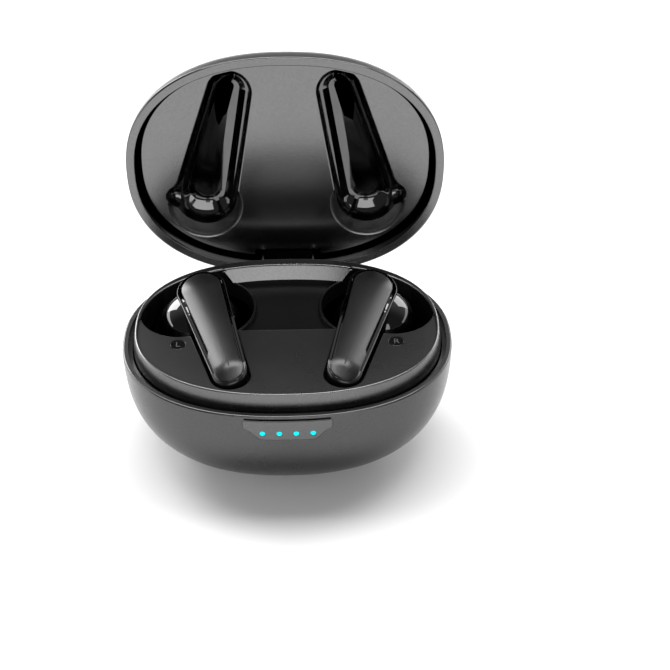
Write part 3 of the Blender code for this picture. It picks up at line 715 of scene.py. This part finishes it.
def make_base():
    shell = loft("base_shell_skin", base_outside())
    line_floor = BASE_H - FOOT_LINE_DEPTH
    cut(shell, loft("foot_line", [inset_oval(inset, z) for inset, z in (
        (BASE_WALL, line_floor - 0.15), (FOOT_LINE, line_floor), (FOOT_LINE, BASE_H + 2.0))]))
    cut(shell, base_room("base_space", BASE_WALL, BASE_FLOOR, BASE_H + 2.0, 14))
    for low, high in BASE_HINGE_SPACES:
        cut(shell, box("hinge_space", low, high))
    slot = flat_round(SLOT_HALF + SLOT_R, SLOT_R, SLOT_Z, 32)
    port = flat_round(PORT_HALF_X, PORT_HALF_Z, PORT_Z, 48)
    cut(shell, along_y("thumb_slot", slot, CUT_FRONT, SLOT_BACK))
    cut(shell, along_y("window_opening", window_outline(0.0), CUT_FRONT, WINDOW_BACK))
    cut(shell, along_y("port_opening", port, 18.0, 24.0))
    finish(shell, MATERIALS["shell"], "base", ["base_shell"], sharp=28.0)

    window = loft("led_window_lens", base_outside())
    cut(window, base_room("window_back", BASE_WALL, BASE_FLOOR, BASE_H + 2.0, 14))
    keep_inside(window, along_y("window_limit", window_outline(WINDOW_GAP), CUT_FRONT, WINDOW_BACK))
    for i in range(4):
        x, z, radius = led_place(i)
        bore = radius + LED_GAP
        cut(window, turned("led_bore", (x, CUT_FRONT, z), (0, 1, 0), ((bore, 0.0), (bore, 8.0))))
    finish(window, MATERIALS["window"], "base", ["led_window"], sharp=28.0)
    for i in range(4):
        make_led(i)


def led_place(i):
    """Centre and radius of a status light, from its CAD node."""
    low, high = node_box(f"led_{i + 1}")
    return (low.x + high.x) / 2, (low.z + high.z) / 2, (high.x - low.x) / 2


def make_led(i):
    """A light pipe with a softly domed end that stands flush in the window."""
    x, z, radius = led_place(i)
    scale = section_scale(BASE_H - z, BASE_H * BOWL_REACH, BOWL_POWER)
    front = -HALF_Y * scale * section_scale(abs(x), HALF_X * scale, PLAN_POWER)
    profile = [(radius * rise, LED_DOME * grow) for grow, rise in arc_steps(6)[1:]]
    profile.append((radius, 2.4))
    led = turned(f"led_pipe_{i + 1}", (x, front - 0.03, z), (0, 1, 0), profile, 32)
    finish(led, MATERIALS["led"], "base", [f"led_{i + 1}"])


# ---- tray and wells ----
def ring_inside(grow):
    return oval(RING_X + grow, RING_Y + grow)


def well_plan(side, grow, section=WELL_SECTIONS[0]):
    a, b = section[1], section[2]
    return flip(capsule(a[:2], a[2] + grow, b[:2], b[2] + grow), side)


def stem_point(along):
    return TIP + STEM_AXIS * along


def trench_plan(side, grow):
    start = TIP_R + TRENCH_GAP + grow
    return flip(capsule(stem_point(-0.5), start, stem_point(TRENCH_REACH), start + TRENCH_WIDEN), side)


def make_tray():
    rings = [inset_oval(LIP_INSET, TRAY_BOTTOM), inset_oval(LIP_INSET, BASE_H)]
    for grow, rise in arc_steps(6):
        rings.append(inset_oval(LIP_INSET + LIP_LEAN + LIP_ROUND * grow, LIP_TOP + LIP_ROUND * (rise - 1.0)))
    tray = loft("tray_deck", rings)
    deck = loft("deck_space", mouth(lambda grow: oval(HALF_X - LIP_FLAT + grow, HALF_Y - LIP_FLAT + grow),
                                    DECK_TOP, LIP_TOP, 0.12, 3))
    cut(tray, keep_inside(deck, box("deck_limit", (-40, -40, 20), (40, DECK_BACK, 40))))
    cut(tray, recess_space(), recess_front_edge())
    for side in (-1, 1):
        join(tray, well_rim(side))
    for side in (-1, 1):
        opening = loft("well_opening", mouth(lambda grow: well_plan(side, grow), 15.0, DECK_TOP, WELL_ROUND))
        cut(tray, keep_inside(opening, loft("opening_limit", mouth(ring_inside, 10.0, LIP_TOP, 0.3))))
        cut(tray, loft("trench", mouth(lambda grow: trench_plan(side, grow), TRENCH_FLOOR, DECK_TOP,
                                       TRENCH_ROUND)))
        centre = at_side(MARK, side)
        seat = MARK_R + MARK_GAP
        cut(tray, loft("mark_seat", [level(circle(centre, radius), z) for radius, z in (
            (seat, MARK_SEAT), (seat, DECK_TOP - 0.08), (seat + 0.08, DECK_TOP), (seat + 0.08, 28.0))]))
        for i in (1, 2):
            spot = middle(f"charge_pin_{side_word(side)}_{i}")
            cut(tray, loft("pin_bore", [level(circle(spot, PIN_BORE), z) for z in (18.0, 23.0)]))
    cut(tray, box("deck_core", (-5.0, -17.0, 15.0), (5.0, RECESS_FRONT - 2.0, 24.2)))
    cut(tray, box("hinge_space", *TRAY_HINGE_SPACE))
    finish(tray, MATERIALS["deck"], "base", ["tray"])
    # darker, less shiny copy of the deck's stock on the recess floor and its front edge: painted shade
    paint_faces(tray, MATERIALS["pan"], in_shaded_pan)
    paint_faces(tray, MATERIALS["lip"], on_lip_or_ring)


def middle(node):
    """Centre of a CAD node seen from above."""
    low, high = node_box(node)
    return (low.x + high.x) / 2, (low.y + high.y) / 2


def recess_space():
    """Cutter for the middle recess, whose back wall slopes up to the ring."""
    space = box("recess_space", (-PAN_HALF, RECESS_FRONT, PAN_TOP), (PAN_HALF, 22.0, 32.0))
    wall = [(-SLOPE_RUN, 10.0), (-SLOPE_RUN, SLOPE_FOOT), (-0.25, LIP_TOP - 0.3), (-0.1, LIP_TOP - 0.1),
            (0.15, LIP_TOP), (0.15, 40.0)]
    return keep_inside(space, loft("recess_limit", [level(ring_inside(grow), z) for grow, z in wall]))


def recess_front_edge():
    """Rounds the deck's edge over the middle recess."""
    front = RECESS_FRONT - FRONT_ROUND
    section = [(RECESS_FRONT + 0.2, DECK_TOP + 1.0), (front, DECK_TOP + 1.0)]
    section += [(front + FRONT_ROUND * rise, DECK_TOP - FRONT_ROUND * grow) for grow, rise in arc_steps(8)]
    section.append((RECESS_FRONT + 0.2, DECK_TOP - FRONT_ROUND))
    return loft("front_edge", [[(x, y, z) for y, z in section] for x in (-11.0, 11.0)])


def well_rim(side):
    """Thin rim round a well, where it stands in the middle recess."""
    rim = loft("well_rim", [level(well_plan(side, grow), z) for grow, z in (
        (RIM_WALL, TRAY_BOTTOM + 0.6), (RIM_WALL, RIM_TOP - 0.25), (RIM_WALL - 0.1, RIM_TOP - 0.08),
        (RIM_WALL - 0.25, RIM_TOP))])
    return keep_inside(rim, loft("rim_limit", [level(ring_inside(0.5), z) for z in (10.0, 40.0)]))


def plan_size(x, y):
    """1 on the case's outline, less inside it."""
    return ((abs(x) / HALF_X) ** PLAN_POWER + (abs(y) / HALF_Y) ** PLAN_POWER) ** (1.0 / PLAN_POWER)


def paint_faces(obj, mat, chosen, place=None):
    """Give a second material to the faces that chosen(centre in mm, normal) picks."""
    obj.data.materials.append(mat)
    index = len(obj.data.materials) - 1
    back = (place or Matrix()).inverted()
    turn = back.to_3x3()
    for polygon in obj.data.polygons:
        if chosen(back @ polygon.center / MM, turn @ polygon.normal):
            polygon.material_index = index


def in_shaded_pan(centre, normal):
    """Floor and front edge of the middle recess, which take a darker, less shiny copy of the deck's stock:
    painted shade.
    """
    low = centre.z < DECK_TOP - 0.15
    return low and normal.z > 0.1 and abs(centre.x) < PAN_HALF and -2.0 < centre.y < RING_Y - SLOPE_RUN


def on_lip_or_ring(centre, normal):
    """The lip's outer wall and top, and the sloping wall behind the recess."""
    lip = plan_size(centre.x, centre.y) > 1.0 - (LIP_FLAT - 0.05) / HALF_Y and normal.z > -0.5
    slope = centre.y > 12.0 and centre.z > SLOPE_FOOT and 0.1 < normal.z < 0.99
    return lip or slope


def smooth_sections(sections, steps):
    """Well sections eased between the given ones by a Catmull-Rom curve."""
    values = [[z, *a, *b] for z, a, b in sections]
    rows = []
    for i in range(len(values) - 1):
        before = values[max(0, i - 1)]
        after = values[min(len(values) - 1, i + 2)]
        for k in range(steps):
            t = k / steps
            rows.append([0.5 * (2 * q + (r - p) * t + (2 * p - 5 * q + 4 * r - s) * t * t
                                + (3 * q - p - 3 * r + s) * t ** 3)
                         for p, q, r, s in zip(before, values[i], values[i + 1], after)])
    rows.append(values[-1])
    return [(row[0], tuple(row[1:4]), tuple(row[4:7])) for row in rows]


def make_well(side):
    """Gloss cup that holds one bud's head; it reaches up to the tray's underside."""
    word = side_word(side)
    sections = smooth_sections(WELL_SECTIONS, 6)
    outer = [level(well_plan(side, WELL_WALL, s), min(s[0], TRAY_BOTTOM - 0.05)) for s in sections]
    outer.append(level(well_plan(side, -1.0, sections[-1]), sections[-1][0] - WELL_WALL))
    inner = [level(well_plan(side, 0.0, s), s[0]) for s in sections]
    inner[0] = [(x, y, 24.0) for x, y, z in inner[0]]
    floor = BASE_FLOOR + 0.3
    well = keep_inside(loft(f"bud_well_cup_{word}", outer),
                       base_room("well_limit", LIP_INSET, floor, 30.0, 12))
    cut(well, keep_inside(loft("well_space", inner), base_room(
        "space_limit", LIP_INSET + WELL_WALL, floor + WELL_WALL, 30.0, 12)))
    finish(well, MATERIALS["gloss"], "base", [f"bud_well_{word}"])


def make_side_mark(side):
    """A small inlaid disc with the side's letter."""
    word = side_word(side)
    spot = at_side(MARK, side)
    top = DECK_TOP - 0.05
    disc = loft(f"side_disc_{word}", [level(circle(spot, MARK_R - inset), z) for inset, z in (
        (0.0, 24.9), (0.0, top - 0.1), (0.04, top - 0.03), (0.11, top))])
    finish(disc, MATERIALS["mark"], "base", [f"side_mark_{word}"])
    curve = bpy.data.curves.new("side_letter", "FONT")
    curve.body = word[0].upper()
    curve.size = LETTER * MM
    curve.extrude = 0.02 * MM
    curve.align_x = "CENTER"
    curve.align_y = "CENTER"
    text = bpy.data.objects.new("side_letter", curve)
    bpy.context.scene.collection.objects.link(text)
    mesh = bpy.data.meshes.new_from_object(text.evaluated_get(bpy.context.evaluated_depsgraph_get()))
    bpy.data.objects.remove(text, do_unlink=True)
    letter = bpy.data.objects.new(f"side_letter_{word}", mesh)
    bpy.context.scene.collection.objects.link(letter)
    finish(letter, MATERIALS["letter"], "base",
           matrix=Matrix.Translation(Vector((*spot, top + 0.015)) * MM))


# ---- lid ----
def opened():
    """The turn that opens a piece modelled shut."""
    pivot = Vector((0.0, HINGE_Y, HINGE_Z)) * MM
    turn = Matrix.Rotation(-math.radians(OPEN_ANGLE), 4, "X")
    return Matrix.Translation(pivot) @ turn @ Matrix.Translation(-pivot)


def lid_dome(inset, roof, power, steps, start_drop=0.0, reach=LID_INNER_REACH):
    top = BASE_H + RIM_GAP
    height = LID_H - roof
    rings = bowl(inset, top, height, 1.0, height * reach, power, steps)
    if start_drop:
        rings.insert(0, inset_oval(inset, top - start_drop))
    return rings


def make_lid_shell():
    top = BASE_H + RIM_GAP
    dome = lid_dome(0.0, 0.0, DOME_POWER, 48, reach=DOME_REACH)[:-1]
    shell = loft("lid_shell_skin", rim_rings(top, 1.0) + [ring for ring in dome
                                                          if ring[0][2] > top + EDGE + 0.05])
    space = [inset_oval(LID_WALL - 0.15, top - 2.0)]
    space += [inset_oval(LID_WALL - 0.15 * (1.0 - rise), top + 0.15 * grow) for grow, rise in arc_steps(3)]
    cut(shell, loft("lid_space", space + lid_dome(LID_WALL, LID_ROOF, LID_INNER_POWER, 24)[1:]))
    for low, high in LID_HINGE_SPACES:
        cut(shell, box("hinge_space", low, high))
    finish(shell, MATERIALS["shell"], "lid", ["lid_shell"], matrix=opened())
    paint_faces(shell, MATERIALS["groove"], inside_lid, opened())
    paint_faces(shell, MATERIALS["liner"], on_lid_rim, opened())


def on_lid_rim(centre, normal):
    """The lid's flat rim, as light as its liner."""
    return normal.z < -0.9 and centre.z < BASE_H + RIM_GAP + 0.1


def inside_lid(centre, normal):
    """Faces of the lid's inner wall, above its flat rim."""
    inward = Vector((centre.x, centre.y)).dot(Vector((normal.x, normal.y))) < 0.0
    return centre.z > BASE_H + RIM_GAP + 0.1 and (inward or normal.z < -0.6)


def recess_plan(outline, side, grow):
    a, a_r, b, b_r = outline
    return flip(capsule(a, a_r + grow, b, b_r + grow), side)


def recess_mouth(outline, side):
    """First rings of a recess's cutter, round its rounded mouth."""
    rings = [level(recess_plan(outline, side, RECESS_ROUND), LINER_Z - 4.0)]
    for grow, rise in arc_steps(4):
        rings.append(level(recess_plan(outline, side, RECESS_ROUND * (1.0 - rise)), LINER_Z + 0.4 * grow))
    return rings


def groove_rings(side):
    """Cutter for a stem groove: rounded mouth, faceted sides and a nearly flat roof."""
    rings = recess_mouth(GROOVE, side)
    for inset, inner, outer, heel in GROOVE_SECTION:
        ring = []
        plan = recess_plan(GROOVE, side, -inset)
        for i, (x, y) in enumerate(plan):
            angle = 2.0 * math.pi * i / len(plan) - GROOVE_LEAN
            depth = outer + (inner - outer) * ease(math.cos(angle), -0.15, 0.3)
            depth += (heel - depth) * ease(math.sin(angle), 0.6, 0.85)
            ring.append((x, y, LINER_Z + depth + ROOF_RISE * y * min(1.0, depth / 3.0)))
        rings.append(ring)
    return rings


def lobe_rings(side):
    """Cutter for the side lobe beside the heel, with a coved roof."""
    rings = recess_mouth(LOBE, side)
    for grow, rise in arc_steps(7)[1:]:
        depth = LOBE_DEPTH + LOBE_COVE * rise
        rings.append(level(recess_plan(LOBE, side, -LOBE_COVE * grow), LINER_Z + depth))
    return rings


def dish_rings(side):
    """Cutter for a finger dish: a flat floor inside a shallow cove."""
    centre = at_side(DISH, side)
    radius = DISH_COVE / math.sin(DISH_EDGE_ANGLE)
    rings = [level(circle(centre, DISH_R, 96), LINER_Z - 3.0)]
    for i in range(9):
        angle = DISH_EDGE_ANGLE * (1.0 - i / 8)
        reach = DISH_R - DISH_COVE + radius * math.sin(angle)
        rise = radius * (math.cos(angle) - math.cos(DISH_EDGE_ANGLE))
        rings.append(level(circle(centre, reach, 96), LINER_Z + rise))
    return rings


def make_lid_liner():
    edge = [level(oval(LINER_X - 0.2 * (1.0 - rise), LINER_Y - 0.2 * (1.0 - rise)), LINER_Z + 0.2 * grow)
            for grow, rise in arc_steps(4)]
    liner = loft("lid_liner_face", edge + [level(oval(LINER_X, LINER_Y), LINER_Z + LINER_THICK)])
    gap = LID_WALL + LINER_GAP
    for side in (-1, 1):
        for outline in (GROOVE, LOBE):
            plan = recess_plan(outline, side, TUB_WALL)
            tub = loft("tub", [level(plan, LINER_Z + 0.5), [(x, y, 31.0 + 0.09 * y) for x, y in plan]])
            join(liner, keep_inside(tub, loft("tub_limit", lid_dome(
                gap, LID_ROOF + 0.3, LID_INNER_POWER, 20, 2.0))))
    for side in (-1, 1):
        for rings in (groove_rings(side), lobe_rings(side)):
            cut(liner, keep_inside(loft("groove", rings), loft("groove_limit", lid_dome(
                gap + TUB_WALL, LID_ROOF + 1.1, LID_INNER_POWER, 20, 6.0))))
        cut(liner, loft("dish", dish_rings(side)))
    cut(liner, box("hinge_space", *LINER_HINGE_SPACE))
    finish(liner, MATERIALS["liner"], "lid", ["lid_liner"], matrix=opened())
    # the grooves' roofs and the side lobes take a darker gloss, painted shade; the grooves' sides and ends
    # keep the lighter one
    paint_faces(liner, MATERIALS["lobe"], in_recess, opened())
    paint_faces(liner, MATERIALS["groove"], in_groove, opened())


def in_recess(centre, normal):
    """Faces of a groove or its side lobe, deeper than the dishes; they get a darker copy of the groove's
    gloss, painted shade.
    """
    inside = abs(centre.x) < LINER_X - 1.0 and abs(centre.y) < LINER_Y - 0.6
    dish_floor = abs(normal.z) > 0.99 and centre.z < LINER_Z + 0.8
    if not inside or dish_floor or centre.z < LINER_Z + 0.02:
        return False
    return in_capsule(centre, GROOVE) or in_capsule(centre, LOBE)


def in_groove(centre, normal):
    """The groove's sides and ends, which keep the lighter gloss; the roof's darker copy is painted shade."""
    return in_recess(centre, normal) and in_capsule(centre, GROOVE) and abs(normal.z) < 0.97


def in_capsule(centre, outline):
    """True within the plan of a recess and its rounded mouth."""
    a, a_r, b, b_r = Vector(outline[0]), outline[1], Vector(outline[2]), outline[3]
    place = Vector((-abs(centre.x), centre.y))
    t = min(1.0, max(0.0, (place - a).dot(b - a) / (b - a).length_squared))
    return (place - a.lerp(b, t)).length < a_r + (b_r - a_r) * t + RECESS_ROUND + 0.02


# ---- earbuds ----
def stem_plan(side, grow):
    """Outline of the stem, with extra corners along its two straight sides."""
    corners = capsule(TIP, TIP_R + grow, HEEL, HEEL_R + grow, STEM_STEPS)
    points = []
    for (x, y), (next_x, next_y) in zip(corners, corners[1:] + corners[:1]):
        steps = SIDE_STEPS if math.hypot(next_x - x, next_y - y) > TIP_R else 1
        points += [(x + (next_x - x) * k / steps, y + (next_y - y) * k / steps) for k in range(steps)]
    return flip(points, side)


def stem_place(x, y, side):
    """Distances along the stem from its tip's centre, and outwards from its centre line."""
    place = Vector((-side * x, y)) - TIP
    return place.dot(STEM_AXIS), place.dot(STEM_ACROSS)


def stem_surface(x, y, side):
    """Height of the stem's crowned top: it falls to its sides and over its two ends."""
    along, outward = stem_place(x, y, side)
    outward /= TIP_R + (HEEL_R - TIP_R) * min(1.0, max(0.0, along / STEM_LENGTH))
    past_tip = max(0.0, TIP_FALL_FROM - along)
    curved = min(past_tip, 0.5 * TIP_SLOPE / TIP_FALL)
    fall = TIP_FALL * curved ** 2 + TIP_SLOPE * (past_tip - curved)
    fall += HEEL_FALL * max(0.0, along - STEM_LENGTH + HEEL_FALL_FROM) ** 2
    return STEM_TOP + STEM_SLOPE * y - CROWN * outward ** 2 - CROWN_LEAN * outward - fall


def sloped(points, side, drop):
    return [(x, y, stem_surface(x, y, side) - drop) for x, y in points]


def stem_part(side, along, reach):
    """A block from the plane across the stem at a station as far as reach."""
    start = stem_point(along)
    far = start + STEM_AXIS * reach
    wide = STEM_ACROSS * 20
    outline = flip([(p.x, p.y) for p in (start + wide, start - wide, far - wide, far + wide)], side)
    return loft("stem_part", [level(outline, 15.0), level(outline, 35.0)])


def rounded_rim(side, grow, rise):
    """One ring of the rim's outer rounding, which is larger round the tip."""
    ring = []
    for (x, y), (inner_x, inner_y) in zip(stem_plan(side, 0.0), stem_plan(side, -1.0)):
        radius = RIM_ROUND + TIP_ROUND * (1.0 - ease(stem_place(x, y, side)[0], -2.0, 0.8))
        place = (x + (inner_x - x) * radius * grow, y + (inner_y - y) * radius * grow)
        ring.append((*place, stem_surface(*place, side) - radius * (1.0 - rise)))
    return ring


def stem_body(name, side):
    """Side walls and rim of the stem, with a seat for the face plate."""
    rings = [level(stem_plan(side, -STEM_BELLY), STEM_BOTTOM)]
    for grow, rise in arc_steps(6):
        rings.append(level(stem_plan(side, -STEM_BELLY * (1.0 - rise)), STEM_BOTTOM + STEM_BELLY * grow))
    rings += [rounded_rim(side, grow, rise) for grow, rise in arc_steps(6)]
    seat = [sloped(stem_plan(side, grow - RIM_THICK), side, drop) for grow, drop in (
        (0.0, SLIT_DEPTH), (0.0, RIM_CHAMFER), (RIM_CHAMFER, 0.0), (RIM_CHAMFER, -3.0))]
    return cut(loft(name, rings), loft("plate_seat", seat))


def plate_plan(side, inset):
    """The face plate's outline: it leaves the slit open except near the tip."""
    points = []
    for (x, y), (inner_x, inner_y) in zip(stem_plan(side, -RIM_THICK - PLATE_GAP - inset),
                                          stem_plan(side, -RIM_THICK - SLIT - inset)):
        along, outward = stem_place(x, y, side)
        end = SLIT_END_OUT if outward > 0 else SLIT_END_IN
        share = ease(along, end - SLIT_EASE, end + SLIT_EASE)
        points.append((x + (inner_x - x) * share, y + (inner_y - y) * share))
    return points


def make_face_plate(side):
    """Crowned plate that rounds down to the rim at the tip."""
    word = side_word(side)
    outer = plate_plan(side, 0.0)
    rings = [sloped(outer, side, SLIT_DEPTH - 0.05), sloped(outer, side, PLATE_ROUND)]
    for grow, rise in arc_steps(3)[1:]:
        rings.append(sloped(plate_plan(side, PLATE_ROUND * grow), side,
                            PLATE_ROUND - (PLATE_ROUND + PLATE_PROUD) * rise))
    edge = plate_plan(side, PLATE_ROUND)
    ridge = [at_side(stem_point(min(max(stem_place(x, y, side)[0], 0.0), STEM_LENGTH)), side)
             for x, y in edge]
    for i in range(1, PLATE_STEPS + 1):
        share = 0.985 * i / PLATE_STEPS
        rings.append(sloped([(x + (top.x - x) * share, y + (top.y - y) * share)
                             for (x, y), top in zip(edge, ridge)], side, -PLATE_PROUD))
    finish(loft(f"face_plate_{word}", rings), MATERIALS["plate"], f"earbud_{word}",
           [f"bud_{word}_face_plate"])


def make_bud(side):
    word = side_word(side)
    body = f"earbud_{word}"
    head = at_side(HEAD, side)
    axis = at_side(NOZZLE_AXIS, side)

    housing = keep_inside(stem_body(f"bud_housing_{word}", side), stem_part(side, CAP_SPLIT, 45.0))
    join(housing, ellipsoid("head", head, HEAD_R), turned("nozzle", head, axis, NOZZLE))
    cut(housing, turned("nozzle_bore", head, axis, NOZZLE_BORE))
    for i in (1, 2):
        pad = circle(middle(f"bud_{word}_contact_{i}"), PAD_SEAT_R, 32)
        cut(housing, loft("pad_seat", [level(pad, 20.0), level(pad, PAD_SEAT_TOP)]))
    finish(housing, MATERIALS["gloss"], body, [f"bud_{word}_housing"])

    cap = keep_inside(stem_body(f"stem_cap_{word}", side), stem_part(side, CAP_SPLIT - CAP_SEAM, -20.0))
    finish(cap, MATERIALS["cap"], body, [f"bud_{word}_stem_cap"])

    make_face_plate(side)
    tip = turned(f"ear_tip_{word}", head, axis, EAR_TIP, 64)
    finish(tip, MATERIALS["tip"], body, [f"bud_{word}_ear_tip"])


# ---- studio ----
def look_at(obj, place, target):
    back = (Vector(place) - Vector(target)).normalized()
    right = Vector((0, 0, 1)).cross(back).normalized()
    turn = Matrix((right, back.cross(right), back)).transposed()
    obj.matrix_world = Matrix.Translation(place) @ turn.to_4x4()


def make_camera():
    data = bpy.data.cameras.new("camera")
    data.lens = CAMERA_LENS
    data.sensor_width = 36.0
    data.clip_start = 0.01
    camera = bpy.data.objects.new("camera", data)
    bpy.context.scene.collection.objects.link(camera)
    up = CAMERA_BACK.cross(CAMERA_RIGHT).normalized()
    turn = Matrix((up.cross(CAMERA_BACK).normalized(), up, CAMERA_BACK)).transposed()
    camera.matrix_world = Matrix.Translation(CAMERA_PLACE * MM) @ turn.to_4x4()
    bpy.context.scene.camera = camera


def make_floor():
    floor = box("studio_floor", (-FLOOR_HALF, -FLOOR_HALF, -4.0), (FLOOR_HALF, FLOOR_HALF, 0.0))
    nodes = Nodes("floor_pale")
    cloud = nodes.noise(3.0, 2.0)
    nodes.link(nodes.blend(cloud, (0.80, 0.80, 0.80), (0.84, 0.84, 0.84)), nodes.shader.inputs["Base Color"])
    nodes.set(Roughness=0.7)
    floor.data.materials.append(nodes.material)


def softbox(name, place, target, width, height, radiance):
    """A rectangular area light, whose power comes from the brightness of its face."""
    data = bpy.data.lights.new(name, "AREA")
    data.shape = "RECTANGLE"
    data.size = width
    data.size_y = height
    data.energy = radiance * width * height * math.pi
    light = bpy.data.objects.new(name, data)
    bpy.context.scene.collection.objects.link(light)
    look_at(light, Vector(place), Vector(target))


def make_world():
    """A soft room: bright towards the back and the sides, dim behind the camera."""
    world = bpy.data.worlds.new("studio")
    world.use_nodes = True
    tree = world.node_tree
    coords = tree.nodes.new("ShaderNodeTexCoord")
    split = tree.nodes.new("ShaderNodeSeparateXYZ")
    tree.links.new(coords.outputs["Generated"], split.inputs["Vector"])
    ramp = tree.nodes.new("ShaderNodeMapRange")
    ramp.interpolation_type = "SMOOTHSTEP"
    fill(ramp, From_Min=-0.2, From_Max=0.55, To_Min=0.1, To_Max=0.5)
    tree.links.new(split.outputs["Y"], ramp.inputs["Value"])
    background = tree.nodes["Background"]
    background.inputs["Color"].default_value = (1.0, 1.0, 1.0, 1.0)
    tree.links.new(ramp.outputs["Result"], background.inputs["Strength"])
    bpy.context.scene.world = world


def make_studio():
    make_camera()
    make_floor()
    make_world()
    centre = (0.0, 0.0, 0.02)
    softbox("top_box", (0.0, 0.2, 0.9), centre, 1.0, 0.34, 8.5)
    softbox("front_box", (0.15, -0.98, 0.5), centre, 1.1, 0.6, 2.4)
    for word, side, radiance in (("left", -1, 10.0), ("right", 1, 4.8)):
        softbox(f"{word}_back_box", (0.70 * side, 0.78, 0.50), centre, 0.6, 0.55, radiance)
        softbox(f"{word}_side_box", (1.1 * side, 0.2, 0.22), centre, 0.9, 0.42, 0.4 * radiance)
    bpy.context.scene.view_settings.view_transform = "Standard"


def main():
    make_studio()
    dress_kept_nodes()
    make_base()
    make_tray()
    make_lid_shell()
    make_lid_liner()
    for side in (-1, 1):
        make_well(side)
        make_side_mark(side)
        make_bud(side)


main()
